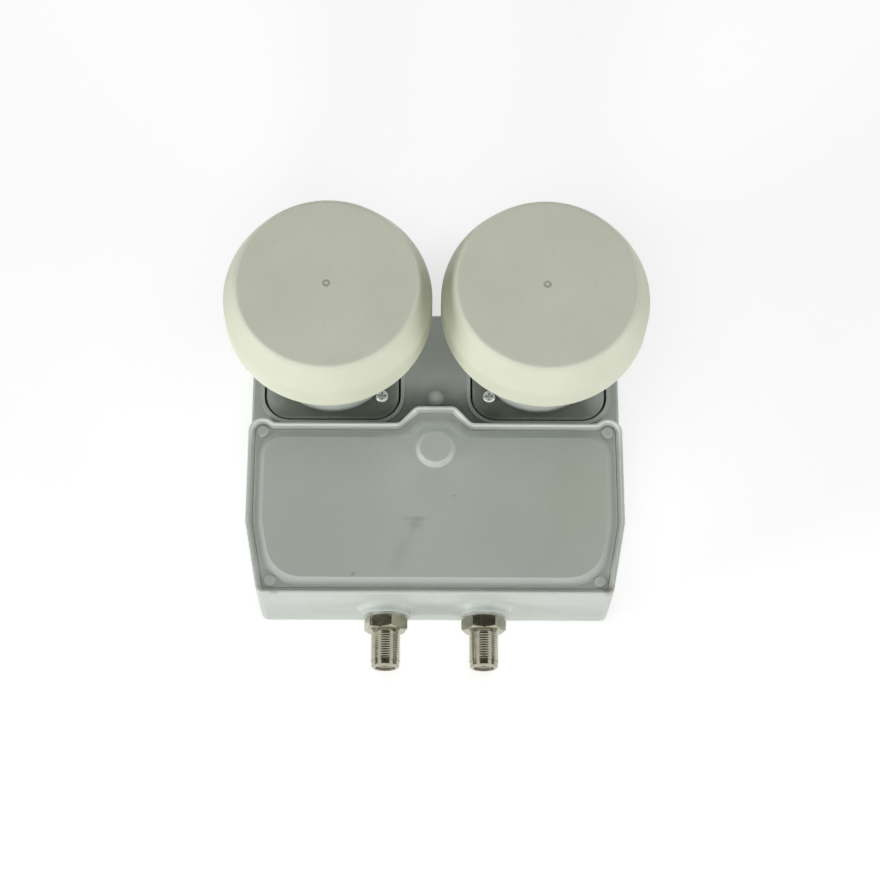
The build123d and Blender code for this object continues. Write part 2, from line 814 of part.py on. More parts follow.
# Circuit board on the posts
with BuildPart() as circuit_board:
    with BuildSketch(Plane.XY.offset(board_z)):
        add(room_outline(board_gap))
    extrude(amount=board_thickness)
    with Locations(*shield_places(board_top_z)):
        Hole(shield_screw_radius + screw_hole_gap, depth=board_thickness)
save(circuit_board, "circuit_board")

# Cast shield with a cell over each circuit
with BuildPart() as shield:
    with BuildSketch(Plane.XY.offset(board_top_z)):
        with Locations((0, board_y)):
            RectangleRounded(2 * shield_half_x, 2 * shield_half_y, shield_corner)
    extrude(amount=shield_height)
    with BuildSketch(Plane.XY.offset(board_top_z)):
        with Locations((0, board_y)):
            with GridLocations(cell_x, 2 * cell_y, 4, 2):
                Rectangle(cell_x - shield_rib, 2 * cell_y - shield_rib)
    extrude(amount=shield_height - shield_roof, mode=Mode.SUBTRACT)
    with Locations(*shield_places(shield_z)):
        Hole(shield_screw_radius + screw_hole_gap, depth=shield_height)
    with Locations(*[(x, y, shield_z) for x, y in resonator_places]):
        Hole(tuning_screw_radius + screw_thread_gap, depth=shield_roof)
save(shield, "shield")

# Screws through the shield and the board into the posts
with BuildPart() as shield_screws:
    shank = shield_height + board_thickness + shield_screw_bite
    with Locations(*shield_places(shield_z)):
        Cylinder(shield_screw_radius, shank, align=(Align.CENTER, Align.CENTER, Align.MAX))
        Cylinder(shield_screw_head, shield_screw_head_height, align=(Align.CENTER, Align.CENTER, Align.MIN))
    fillet(shield_screws.edges().group_by(Axis.Z)[-1], shield_screw_head_height / 2)
save(shield_screws, "shield_screws")

# Headless screws that tune the resonators
with BuildPart() as tuning_screws:
    with Locations(*[(x, y, shield_z + shield_roof) for x, y in resonator_places]):
        Cylinder(tuning_screw_radius, tuning_screw_length, align=(Align.CENTER, Align.CENTER, Align.MAX))
        Box(
            2 * tuning_screw_radius,
            screw_slot_width,
            screw_slot_depth,
            align=(Align.CENTER, Align.CENTER, Align.MAX),
            mode=Mode.SUBTRACT,
        )
save(tuning_screws, "tuning_screws")

# Ceramic resonators on the board, two for each horn
bands = [("low", low_resonator_radius, low_cells), ("high", high_resonator_radius, high_cells)]
for band, radius, cells in bands:
    for name, (x, y) in cells.items():
        with BuildPart() as resonator:
            with Locations((x, y, board_top_z)):
                Cylinder(radius, resonator_height, align=(Align.CENTER, Align.CENTER, Align.MIN))
        save(resonator, f"{band}_band_resonator_{name}")


# Packaged circuits in the shield's front cells
def packaged_circuit(name, x, size):
    """A moulded body on two rows of leads."""
    length, width, height = size
    with BuildPart() as circuit:
        with Locations((x, board_y - cell_y, board_top_z)):
            Box(length, width, height, align=(Align.CENTER, Align.CENTER, Align.MIN))
            with GridLocations(lead_pitch, width + lead_reach, int(length / lead_pitch), 2):
                Box(lead_width, lead_reach, lead_height, align=(Align.CENTER, Align.CENTER, Align.MIN))
    save(circuit, name)


packaged_circuit("voltage_regulator_left", -1.5 * cell_x, regulator_size)
packaged_circuit("controller_circuit", -0.5 * cell_x, controller_size)
packaged_circuit("switch_circuit", 0.5 * cell_x, switch_size)
packaged_circuit("voltage_regulator_right", 1.5 * cell_x, regulator_size)

# Probes from each waveguide to the board, in insulating sleeves
for name, side in sides.items():
    board_edge_y = inner_rim_y - board_gap
    with BuildPart() as straight_probe:
        start_y = board_edge_y - probe_tail
        with BuildSketch(across(start_y)):
            with Locations((horn_x(side), straight_probe_z)):
                Circle(probe_radius)
        extrude(amount=start_y - (horn_y - waveguide_radius + probe_reach))
    save(straight_probe, f"straight_probe_{name}")

    with BuildPart() as bent_probe:
        leg_y = board_edge_y - bent_leg
        tip_y = horn_y - waveguide_radius + probe_reach
        with BuildLine() as route:
            FilletPolyline(
                (horn_x(side), leg_y, board_top_z + solder_gap),
                (horn_x(side), leg_y, bent_probe_z),
                (horn_x(side), tip_y, bent_probe_z),
                (horn_x(side) + side * probe_arm, tip_y, bent_probe_z),
                radius=probe_bend,
            )
        with BuildSketch(Plane.XY.offset(board_top_z + solder_gap)):
            with Locations((horn_x(side), leg_y)):
                Circle(probe_radius)
        sweep(path=route.wires()[0])
    save(bent_probe, f"bent_probe_{name}")

    for kind, z in (("straight", straight_probe_z), ("bent", bent_probe_z)):
        with BuildPart() as sleeve:
            with BuildSketch(across(inner_rim_y)):
                with Locations((horn_x(side), z)):
                    Circle(sleeve_radius)
                    Circle(probe_radius + sleeve_gap, mode=Mode.SUBTRACT)
            extrude(amount=inner_rim_y - (horn_y - waveguide_radius))
        save(sleeve, f"{kind}_probe_sleeve_{name}")
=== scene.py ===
"""Looks of a twin-feed satellite low-noise block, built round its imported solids.

The unit's sizes and the camera's place are in millimetres in the dataclass fields, and those of the floor,
the lamps and the cards in metres. Everything is in metres once it reaches a mesh, a node or the scene.
"""

import logging
import math
from dataclasses import dataclass, field
from enum import Enum

import bmesh
import bpy
from mathutils import Matrix, Vector


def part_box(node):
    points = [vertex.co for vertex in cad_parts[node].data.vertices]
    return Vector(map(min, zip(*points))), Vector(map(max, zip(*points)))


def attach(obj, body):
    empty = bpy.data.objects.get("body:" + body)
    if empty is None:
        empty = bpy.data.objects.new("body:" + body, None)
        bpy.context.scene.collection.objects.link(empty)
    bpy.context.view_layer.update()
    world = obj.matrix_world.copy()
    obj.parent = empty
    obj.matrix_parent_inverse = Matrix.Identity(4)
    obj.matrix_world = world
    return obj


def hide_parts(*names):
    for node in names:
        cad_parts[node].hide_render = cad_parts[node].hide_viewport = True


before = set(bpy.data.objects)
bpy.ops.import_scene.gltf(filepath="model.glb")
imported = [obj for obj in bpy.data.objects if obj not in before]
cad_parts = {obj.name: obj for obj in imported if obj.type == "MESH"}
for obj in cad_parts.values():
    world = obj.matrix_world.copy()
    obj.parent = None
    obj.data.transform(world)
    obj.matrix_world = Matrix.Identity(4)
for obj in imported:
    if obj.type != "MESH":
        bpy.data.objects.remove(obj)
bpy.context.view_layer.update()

MM = 0.001
IMAGE_WIDTH = 880
SENSOR_WIDTH = 36.0
CREVICE_SAMPLES = 6
EDGE_SAMPLES = 4

log = logging.getLogger("lnb")

Colour = tuple[float, float, float]
Span = tuple[float, float]
Socket = bpy.types.NodeSocket

# Levels between which most of a cloudy noise lies.
CLOUDS: Span = (0.25, 0.75)
WIDE_CLOUDS: Span = (0.20, 0.80)
# Upright part of a face's normal, from slopes that count as walls to level faces.
LEVEL_FACING: Span = (0.60, 0.98)
# How far the rounded normal agrees with the true one, on flat faces and on an edge.
EDGE_FACING: Span = (0.998, 0.95)


class Side(Enum):
    """The two halves of the unit, as seen from the front."""

    LEFT = "left"
    RIGHT = "right"


class Ray(Enum):
    """The rays that meet the floor and the surroundings as a white background."""

    CAMERA = "Is Camera Ray"
    GLOSSY = "Is Glossy Ray"
    TRANSMISSION = "Is Transmission Ray"


def linear(red: int, green: int, blue: int) -> Colour:
    """Turn a display colour of 0 to 255 into a linear one.

    Args:
        red: red of the display colour.
        green: green of the display colour.
        blue: blue of the display colour.

    Returns:
        The linear colour that renders as that display colour at a plain light level.
    """

    def one(level: int) -> float:
        """One channel of the colour."""
        share = level / 255
        return share / 12.92 if share <= 0.04045 else ((share + 0.055) / 1.055) ** 2.4

    return one(red), one(green), one(blue)


def direction(azimuth: float, elevation: float) -> Vector:
    """Way from the unit towards something that looks at it.

    Args:
        azimuth: degrees to the right of the unit's front.
        elevation: degrees above the floor.

    Returns:
        A vector of length 1.
    """
    around, up = math.radians(azimuth), math.radians(elevation)
    return Vector((math.sin(around) * math.cos(up), -math.cos(around) * math.cos(up), math.sin(up)))


def looking(target: Vector, away: Vector, distance: float, roll: float = 0.0) -> Matrix:
    """Stand of a lamp or camera that looks at a target.

    Args:
        target: what it looks at.
        away: way from the target to the stand.
        distance: how far away it stands.
        roll: degrees that it is turned about its own axis.

    Returns:
        The stand's matrix.
    """
    right = Vector((0, 0, 1)).cross(away).normalized()
    top = away.cross(right)
    turn = math.radians(roll)
    turned_right = math.cos(turn) * right + math.sin(turn) * top
    turned_top = math.cos(turn) * top - math.sin(turn) * right
    stand = Matrix((turned_right, turned_top, away)).transposed().to_4x4()
    stand.translation = target + away * distance
    return stand


def background_ray(tree: bpy.types.NodeTree) -> Socket:
    """Whether a ray sees the background directly, in a mirror or through glass.

    Args:
        tree: the node graph that asks.

    Returns:
        A socket that is 1 for such a ray and 0 for all others.
    """
    path = tree.nodes.new("ShaderNodeLightPath")
    first, *others = (path.outputs[ray.value] for ray in Ray)
    for other in others:
        either = tree.nodes.new("ShaderNodeMath")
        either.operation = "MAXIMUM"
        tree.links.new(first, either.inputs[0])
        tree.links.new(other, either.inputs[1])
        first = either.outputs[0]
    return first


def level_card(name: str, width: float, depth: float) -> bpy.types.Object:
    """Make a flat card about the origin and put it in the scene.

    Args:
        name: the card's name.
        width: its size along X.
        depth: its size along Y.

    Returns:
        The card, without a material.
    """
    across, along = width / 2, depth / 2
    data = bpy.data.meshes.new(name)
    corners = [(-across, -along, 0), (across, -along, 0), (across, along, 0), (-across, along, 0)]
    data.from_pydata(corners, [], [(0, 1, 2, 3)])
    card = bpy.data.objects.new(name, data)
    bpy.context.scene.collection.objects.link(card)
    return card


class Graph:
    """The node graph of one material, with short calls for the nodes that the finishes use."""

    def __init__(self, name: str) -> None:
        """Start a material with one surface shader.

        Args:
            name: the material's name.
        """
        self.material = bpy.data.materials.new(name)
        self.material.use_nodes = True
        self.tree = self.material.node_tree
        self.tree.nodes.clear()
        output = self.tree.nodes.new("ShaderNodeOutputMaterial")
        self.shader = self.tree.nodes.new("ShaderNodeBsdfPrincipled")
        self.tree.links.new(self.shader.outputs["BSDF"], output.inputs["Surface"])
        self.place = self.tree.nodes.new("ShaderNodeTexCoord").outputs["Object"]

    def link(self, source: Socket | float | Colour, target: Socket) -> None:
        """Feed a socket with another socket or with a plain value."""
        if isinstance(source, bpy.types.NodeSocket):
            self.tree.links.new(source, target)
        elif isinstance(source, tuple):
            target.default_value = (*source, 1.0) if len(target.default_value) == 4 else source
        else:
            target.default_value = source

    def math(self, operation: str, *values: Socket | float, clamp: bool = False) -> Socket:
        """Work out one number from others.

        Args:
            operation: Blender's name of the operation.
            values: its inputs, in order.
            clamp: whether the result is held between 0 and 1.

        Returns:
            The result's socket.
        """
        node = self.tree.nodes.new("ShaderNodeMath")
        node.operation = operation
        node.use_clamp = clamp
        for value, target in zip(values, node.inputs):
            self.link(value, target)
        return node.outputs[0]

    def vector(self, operation: str, *values: Socket | tuple[float, float, float]) -> bpy.types.Node:
        """Work out a vector or a length from vectors.

        Args:
            operation: Blender's name of the operation.
            values: its inputs, in order.

        Returns:
            The node, whose outputs are "Vector" and "Value".
        """
        node = self.tree.nodes.new("ShaderNodeVectorMath")
        node.operation = operation
        for value, target in zip(values, node.inputs):
            self.link(value, target)
        return node

    def turned(self, place: Socket, angle: float) -> Socket:
        """Turn a place about the upright axis by an angle in degrees."""
        node = self.tree.nodes.new("ShaderNodeVectorRotate")
        node.rotation_type = "Z_AXIS"
        node.inputs["Angle"].default_value = math.radians(angle)
        self.link(place, node.inputs["Vector"])
        return node.outputs["Vector"]

    def noise(self, grain: float, detail: float = 2.0) -> Socket:
        """Cloudy noise.

        Args:
            grain: size of the clouds in millimetres.
            detail: how many finer layers it has.

        Returns:
            The noise's level, about 0.5 on average.
        """
        node = self.tree.nodes.new("ShaderNodeTexNoise")
        node.inputs["Scale"].default_value = 1 / (grain * MM)
        node.inputs["Detail"].default_value = detail
        self.link(self.place, node.inputs["Vector"])
        return node.outputs["Fac"]

    def span(self, value: Socket, reach: Span, result: Span = (0.0, 1.0)) -> Socket:
        """Map a span of values onto another, smoothly and held at its ends.

        Args:
            value: what is mapped.
            reach: first and last value of the span.
            result: what these two become.

        Returns:
            The mapped value's socket.
        """
        node = self.tree.nodes.new("ShaderNodeMapRange")
        node.interpolation_type = "SMOOTHSTEP"
        for name, number in zip(("From Min", "From Max", "To Min", "To Max"), reach + result):
            node.inputs[name].default_value = number
        self.link(value, node.inputs["Value"])
        return node.outputs["Result"]

    def mix(self, share: Socket | float, first: Socket | Colour, second: Socket | Colour) -> Socket:
        """Blend two colours.

        Args:
            share: how much of the second one shows.
            first: colour at a share of 0.
            second: colour at a share of 1.

        Returns:
            The blended colour's socket.
        """
        node = self.tree.nodes.new("ShaderNodeMix")
        node.data_type = "RGBA"
        self.link(share, node.inputs["Factor"])
        self.link(first, node.inputs["A"])
        self.link(second, node.inputs["B"])
        return node.outputs["Result"]

    def crevice(self, reach: float) -> Socket:
        """Openness of a surface: 1 in the open, towards 0 in corners closer than a reach in millimetres."""
        node = self.tree.nodes.new("ShaderNodeAmbientOcclusion")
        node.samples = CREVICE_SAMPLES
        node.inputs["Distance"].default_value = reach * MM
        return node.outputs["AO"]

    def upright(self, vector: Socket) -> Socket:
        """Upright part of a vector."""
        parts = self.tree.nodes.new("ShaderNodeSeparateXYZ")
        self.link(vector, parts.inputs["Vector"])
        return parts.outputs["Z"]

    def upward(self) -> Socket:
        """Share of a face that looks up: 1 on level faces, 0 on walls and undersides."""
        surface = self.tree.nodes.new("ShaderNodeNewGeometry")
        return self.span(self.upright(surface.outputs["Normal"]), LEVEL_FACING)

    def edges(self, radius: float) -> Socket:
        """Share of an outer edge's band, where edge wear and painted edge highlights go: 1 on an edge, 0 on
        flat faces.

        Args:
            radius: width of the band along an edge, in millimetres.

        Returns:
            The share's socket.
        """
        bevel = self.tree.nodes.new("ShaderNodeBevel")
        bevel.samples = EDGE_SAMPLES
        bevel.inputs["Radius"].default_value = radius * MM
        surface = self.tree.nodes.new("ShaderNodeNewGeometry")
        facing = self.vector("DOT_PRODUCT", bevel.outputs["Normal"], surface.outputs["Normal"])
        return self.span(facing.outputs["Value"], EDGE_FACING)

    def bump(self, height: Socket, depth: float, strength: float, under: Socket | None = None) -> Socket:
        """Raise the surface by a height.

        Args:
            height: level between 0 and 1.
            depth: how far 1 stands above 0, in millimetres.
            strength: share of the bump that shows.
            under: normal that this one adds to.

        Returns:
            The new normal's socket.
        """
        node = self.tree.nodes.new("ShaderNodeBump")
        node.inputs["Strength"].default_value = strength
        node.inputs["Distance"].default_value = depth * MM
        self.link(height, node.inputs["Height"])
        if under is not None:
            self.link(under, node.inputs["Normal"])
        return node.outputs["Normal"]

    def finish(self, **inputs: Socket | float | Colour) -> bpy.types.Material:
        """Feed the surface shader and hand back the material.

        Args:
            inputs: the shader's inputs, with underscores for spaces.

        Returns:
            The finished material.
        """
        for name, source in inputs.items():
            self.link(source, self.shader.inputs[name.replace("_", " ")])
        return self.material


PAINT = linear(191, 197, 190)
GREASE = linear(112, 115, 96)
# Near white for painted highlights: the rim's lit top and a lit post on the plate.
PAINTED_HIGHLIGHT = linear(232, 236, 230)
RUST = linear(104, 99, 80)
DUST = linear(132, 130, 112)
YELLOWED = linear(190, 193, 168)
# Dark grey for painted shadow on the plate and flanges, where the rim and the caps shade them.
PAINTED_SHADOW = linear(50, 53, 46)


@dataclass(frozen=True)
class Mark:
    """A mark on a painted face: a ragged patch of another colour, such as a stain, wear, a painted shadow or
    a painted highlight.

    Attributes:
        centre: where its middle lies, seen from above.
        reach: how far it reaches from there across and along.
        colour: its colour.
        strength: share of its colour in its middle.
        turn: degrees that it is turned, seen from above.
        ragged: how far its edge wanders, as a share of its reach.
        level: height of its middle.
        drop: how far it reaches above and below that height.
    """

    centre: tuple[float, float]
    reach: tuple[float, float]
    colour: Colour
    strength: float
    turn: float = 0.0
    ragged: float = 0.6
    level: float = 32.0
    drop: float = 1000.0


@dataclass(frozen=True)
class CastPaint:
    """Pale grey paint on a die casting, satin, with a fine orange peel, some grime, painted shade on
    sheltered level faces, and worn edges that also stand for painted highlights.
    """

    name: str
    marks: tuple[Mark, ...] = ()
    shelter_shade: float = 0.0
    colour: Colour = PAINT
    grime_and_shade: Colour = linear(96, 98, 86)
    worn_and_highlit: Colour = linear(226, 230, 224)
    darkest: float = 0.93
    lightest: float = 1.05
    roughness: Span = (0.39, 0.52)
    cloud_grain: float = 34.0
    speck_grain: float = 0.9
    speck_share: float = 0.03
    corner_reach: float = 1.8
    dirt_grain: float = 5.0
    dirt_share: Span = (0.25, 0.60)
    shelter_reach: float = 14.0
    wear_and_highlight_width: float = 0.9
    wear_and_highlight_grain: float = 2.2
    wear_and_highlight_share: Span = (0.30, 0.60)
    sheen_grain: float = 6.0
    peel_grain: float = 0.75
    peel_depth: float = 0.05
    wave_grain: float = 9.0
    wave_depth: float = 0.12

    def mark_share(self, graph: Graph, mark: Mark) -> Socket:
        """Where a mark lies on the face.

        Args:
            graph: the material that it is painted in.
            mark: the mark.

        Returns:
            The share of the mark's colour.
        """
        x, y = mark.centre
        across, along = mark.reach
        offset = graph.vector("SUBTRACT", graph.place, (x * MM, y * MM, mark.level * MM)).outputs["Vector"]
        turned = graph.turned(offset, mark.turn)
        shares = (1 / (across * MM), 1 / (along * MM), 1 / (mark.drop * MM))
        scaled = graph.vector("MULTIPLY", turned, shares).outputs["Vector"]
        distance = graph.vector("LENGTH", scaled).outputs["Value"]
        ragged = graph.math("SUBTRACT", graph.noise(min(across, along) * 0.6, 3.0), 0.5)
        edge = graph.math("MULTIPLY_ADD", ragged, 2 * mark.ragged, distance)
        return graph.span(edge, (1.0, 0.1), (0.0, mark.strength))

    def soiled_and_shaded(self, graph: Graph, corner: Socket) -> Socket:
        """Colour of the paint with specks, dirt in its corners and painted shade on its sheltered level
        faces.

        Args:
            graph: the paint's material.
            corner: openness of the surface within the reach of a corner.

        Returns:
            The colour's socket.
        """
        darker = tuple(self.darkest * channel for channel in self.colour)
        lighter = tuple(self.lightest * channel for channel in self.colour)
        tone = graph.mix(graph.noise(self.cloud_grain, 3.0), darker, lighter)
        speck = graph.span(graph.noise(self.speck_grain, 1.0), (0.30, 0.70), (self.speck_share, 0.0))
        tone = graph.mix(speck, tone, self.grime_and_shade)
        patchy = graph.span(graph.noise(self.dirt_grain), WIDE_CLOUDS, self.dirt_share)
        dirt = graph.math("MULTIPLY", graph.span(corner, (0.60, 0.20)), patchy)
        tone = graph.mix(dirt, tone, self.grime_and_shade)
        # Painted shade: level faces that other parts shelter within the reach, such as the flanges under the
        # caps, are darkened towards the grime colour.
        shelter = graph.crevice(self.shelter_reach)
        shelter_shade = graph.span(shelter, (1.00, 0.50), (self.shelter_shade / 2, self.shelter_shade))
        return graph.mix(graph.math("MULTIPLY", shelter_shade, graph.upward()), tone, self.grime_and_shade)

    def material(self) -> bpy.types.Material:
        """Make the paint's material."""
        graph = Graph(self.name)
        corner = graph.crevice(self.corner_reach)
        tone = self.soiled_and_shaded(graph, corner)
        # Edge wear on open outer edges, which also stands for painted highlights along the crests of the rim
        # and the cover's panel.
        rubbed_and_highlit = graph.span(graph.noise(self.wear_and_highlight_grain, 3.0), (0.35, 0.65), self.wear_and_highlight_share)
        wear_and_highlight = graph.math("MULTIPLY", graph.edges(self.wear_and_highlight_width), graph.span(corner, (0.60, 0.90)))
        tone = graph.mix(graph.math("MULTIPLY", wear_and_highlight, rubbed_and_highlit), tone, self.worn_and_highlit)
        for mark in self.marks:
            tone = graph.mix(self.mark_share(graph, mark), tone, mark.colour)
        rough = graph.span(graph.noise(self.sheen_grain, 3.0), CLOUDS, self.roughness)
        peel = graph.bump(graph.noise(self.peel_grain), self.peel_depth, 0.35)
        wavy = graph.bump(graph.noise(self.wave_grain, 1.0), self.wave_depth, 0.25, peel)
        return graph.finish(Base_Color=tone, Roughness=rough, Normal=wavy)


@dataclass(frozen=True)
class CapPlastic:
    """Cream-grey weatherproof plastic of the caps, matt, with a fine spark texture, light soiling and paler
    level faces that are partly bleached and partly painted top light.
    """

    name: str
    colour: Colour = linear(216, 219, 198)
    bleached_and_lit: Colour = linear(234, 238, 219)
    soil: Colour = linear(150, 146, 120)
    roughness: Span = (0.48, 0.60)
    soil_grain: float = 22.0
    soil_share: float = 0.10
    fleck_grain: float = 1.3
    fleck_share: float = 0.18
    corner_reach: float = 1.2
    corner_share: float = 0.75
    sheen_grain: float = 4.0
    spark_grain: float = 0.45
    spark_depth: float = 0.03

    def material(self) -> bpy.types.Material:
        """Make the plastic's material."""
        graph = Graph(self.name)
        # Painted top light: faces that look up are paler, and slightly less yellow from bleaching.
        tone = graph.mix(graph.upward(), self.colour, self.bleached_and_lit)
        soil = graph.span(graph.noise(self.soil_grain, 3.0), WIDE_CLOUDS, (0.0, self.soil_share))
        fleck = graph.span(graph.noise(self.fleck_grain), (0.66, 0.80), (0.0, self.fleck_share))
        dirt = graph.span(graph.crevice(self.corner_reach), (0.75, 0.30), (0.0, self.corner_share))
        for share in (soil, fleck, dirt):
            tone = graph.mix(share, tone, self.soil)
        rough = graph.span(graph.noise(self.sheen_grain), CLOUDS, self.roughness)
        spark = graph.bump(graph.noise(self.spark_grain), self.spark_depth, 0.4)
        return graph.finish(Base_Color=tone, Roughness=rough, Normal=spark)


@dataclass(frozen=True)
class Rubber:
    """Black seal rubber with a dusty bloom."""

    name: str
    colour: Colour = linear(26, 26, 25)
    bloom: Colour = linear(70, 70, 66)
    roughness: Span = (0.64, 0.82)
    bloom_grain: float = 1.6
    bloom_share: float = 0.5
    sheen_grain: float = 2.0
    skin_grain: float = 0.5
    skin_depth: float = 0.04

    def material(self) -> bpy.types.Material:
        """Make the rubber's material."""
        graph = Graph(self.name)
        bloom = graph.span(graph.noise(self.bloom_grain, 3.0), (0.5, 0.8), (0.0, self.bloom_share))
        tone = graph.mix(bloom, self.colour, self.bloom)
        rough = graph.span(graph.noise(self.sheen_grain), WIDE_CLOUDS, self.roughness)
        skin = graph.bump(graph.noise(self.skin_grain), self.skin_depth, 0.4)
        return graph.finish(Base_Color=tone, Roughness=rough, Normal=skin)


@dataclass(frozen=True)
class Plating:
    """A plated or bare metal: dulled in crevices, scratched along its faces."""

    name: str
    colour: Colour
    dull: Colour
    roughness: float
    scratch: float = 0.08
    corner_reach: float = 0.8
    corner_share: float = 0.8
    stain_grain: float = 3.0
    stain_share: float = 0.35
    scratch_grain: float = 0.6
    scratch_depth: float = 0.01

    def material(self) -> bpy.types.Material:
        """Make the metal's material."""
        graph = Graph(self.name)
        hollow = graph.span(graph.crevice(self.corner_reach), (0.85, 0.35), (0.0, self.corner_share))
        stain = graph.span(graph.noise(self.stain_grain, 3.0), (0.45, 0.85), (0.0, self.stain_share))
        tone = graph.mix(graph.math("ADD", hollow, stain, clamp=True), self.colour, self.dull)
        fine = graph.noise(self.scratch_grain, 3.0)
        rough = graph.span(fine, CLOUDS, (self.roughness, self.roughness + self.scratch))
        normal = graph.bump(fine, self.scratch_depth, 0.3)
        return graph.finish(Base_Color=tone, Roughness=rough, Metallic=1.0, Normal=normal)


@dataclass(frozen=True)
class PlainMoulding:
    """A small moulded or fired piece with a slight mottle."""

    name: str
    colour: Colour
    roughness: float
    mottle: float
    grain: float = 1.5
    sheen: float = 0.06
    skin_grain: float = 0.4
    skin_depth: float = 0.02

    def material(self) -> bpy.types.Material:
        """Make the piece's material."""
        graph = Graph(self.name)
        dark = tuple((1 - self.mottle) * channel for channel in self.colour)
        light = tuple((1 + self.mottle) * channel for channel in self.colour)
        tone = graph.mix(graph.noise(self.grain, 3.0), dark, light)
        cloud = graph.noise(self.grain * 2)
        rough = graph.span(cloud, CLOUDS, (self.roughness - self.sheen, self.roughness + self.sheen))
        skin = graph.bump(graph.noise(self.skin_grain), self.skin_depth, 0.3)
        return graph.finish(Base_Color=tone, Roughness=rough, Normal=skin)


COVER_MARKS = (
    Mark(centre=(-6.3, -22.9), reach=(6.2, 1.3), colour=GREASE, strength=0.30),
    Mark(centre=(-6.6, -25.0), reach=(3.2, 2.8), colour=GREASE, strength=0.26),
    Mark(centre=(-11.0, -34.5), reach=(3.6, 11.0), colour=DUST, strength=0.13, turn=24.0),
    Mark(centre=(6.1, -14.9), reach=(0.7, 0.7), colour=DUST, strength=0.55),
    Mark(centre=(-26.4, -41.8), reach=(1.6, 0.8), colour=DUST, strength=0.55, turn=-35.0),
    Mark(centre=(54.6, -43.4), reach=(2.6, 2.2), colour=RUST, strength=0.45),
    Mark(centre=(47.0, -14.0), reach=(15.0, 24.0), colour=YELLOWED, strength=0.40),
)
CASTING_MARKS = (
    # Painted highlight along the rim's top face, where light catches the rim.
    Mark((0.0, 11.0), (200.0, 14.0), colour=PAINTED_HIGHLIGHT, strength=0.85, ragged=0.1, level=32.5, drop=0.9),
    Mark(centre=(56.0, -46.6), reach=(3.2, 2.6), colour=RUST, strength=0.55, drop=4.0),
    Mark(centre=(-52.0, -48.2), reach=(2.4, 1.4), colour=DUST, strength=0.40, drop=2.0),
    # Painted shadow on the plate round the cover's bump and behind the rim, where the rim and the caps shade
    # it.
    Mark((0.0, 14.0), (30.0, 16.0), colour=PAINTED_SHADOW, strength=0.90, ragged=0.15, level=28.5, drop=2.5),
    Mark((0.0, 11.5), (70.0, 4.0), colour=PAINTED_SHADOW, strength=0.60, ragged=0.15, level=29.0, drop=2.0),
    # Painted highlight on the round post on the plate, which stands out of the painted shadow.
    Mark((0.2, 21.2), (3.4, 3.4), colour=PAINTED_HIGHLIGHT, strength=0.50, ragged=0.1, level=29.0, drop=2.0),
)
HORN_MARKS = (
    # Painted shadow on the flanges under the caps; the two marks after it bring back plain paint at the outer
    # flange corners, as painted light where light reaches past the caps.
    Mark((0.0, 13.5), (50.0, 10.0), colour=PAINTED_SHADOW, strength=0.95, ragged=0.15, level=29.3, drop=1.5),
    Mark((-57.0, 21.0), (8.0, 8.0), colour=PAINT, strength=0.90, ragged=0.3, level=29.3, drop=1.5),
    Mark((57.0, 21.0), (11.0, 9.0), colour=PAINT, strength=0.80, ragged=0.3, level=29.3, drop=1.5),
)


@dataclass(frozen=True)
class Finishes:
    """Every finish of the unit, made once."""

    paint: bpy.types.Material = field(
        default_factory=lambda: CastPaint("cast paint", marks=CASTING_MARKS).material()
    )
    # The horn paint carries painted shade on its sheltered level faces.
    horn_paint: bpy.types.Material = field(
        default_factory=lambda: CastPaint("horn paint", shelter_shade=0.85, marks=HORN_MARKS).material()
    )
    cover_paint: bpy.types.Material = field(
        default_factory=lambda: CastPaint("cover paint", marks=COVER_MARKS).material()
    )
    cap: bpy.types.Material = field(default_factory=lambda: CapPlastic("cap plastic").material())
    rubber: bpy.types.Material = field(default_factory=lambda: Rubber("seal rubber").material())
    nickel: bpy.types.Material = field(
        default_factory=lambda: Plating("nickel", linear(178, 175, 158), linear(92, 89, 66), 0.13).material()
    )
    zinc: bpy.types.Material = field(
        default_factory=lambda: Plating("zinc", linear(236, 237, 234), linear(160, 158, 150), 0.40).material()
    )
    brass: bpy.types.Material = field(
        default_factory=lambda: Plating("brass", linear(214, 184, 112), linear(120, 92, 48), 0.24).material()
    )
    bare_casting: bpy.types.Material = field(
        default_factory=lambda: Plating(
            "bare casting", linear(200, 200, 198), linear(120, 120, 118), 0.46
        ).material()
    )
    # The insulator's white plastic is greyed here as painted shade, for the shade inside the outlets' bores;
    # the probe sleeves share it.
    insulator: bpy.types.Material = field(
        default_factory=lambda: PlainMoulding("insulator", linear(150, 146, 134), 0.48, 0.14).material()
    )
    laminate: bpy.types.Material = field(
        default_factory=lambda: PlainMoulding("laminate", linear(46, 110, 66), 0.38, 0.15, 3.0).material()
    )
    ceramic: bpy.types.Material = field(
        default_factory=lambda: PlainMoulding("ceramic", linear(188, 170, 140), 0.62, 0.10, 0.8).material()
    )
    package: bpy.types.Material = field(
        default_factory=lambda: PlainMoulding("package", linear(38, 38, 40), 0.55, 0.20, 0.6).material()
    )


def dress(node: str, material: bpy.types.Material) -> None:
    """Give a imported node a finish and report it.

    Args:
        node: the node's name.
        material: its finish.
    """
    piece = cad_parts[node]
    piece.data.materials.clear()
    piece.data.materials.append(material)
    log.info("%s: %s", node, material.name)


@dataclass
class Casting:
    """The cast box with its front cover and the cover's gasket."""

    def dress(self, finishes: Finishes) -> None:
        """Finish the box, the cover and the gasket."""
        dress("housing", finishes.paint)
        dress("front_cover", finishes.cover_paint)
        dress("cover_gasket", finishes.rubber)


@dataclass
class Feed:
    """One feed: its horn, gasket, cap and seal."""

    side: Side

    def dress(self, finishes: Finishes) -> None:
        """Finish the feed's pieces."""
        dress(f"feed_horn_{self.side.value}", finishes.horn_paint)
        dress(f"horn_gasket_{self.side.value}", finishes.rubber)
        dress(f"feed_cap_{self.side.value}", finishes.cap)
        dress(f"cap_seal_{self.side.value}", finishes.rubber)


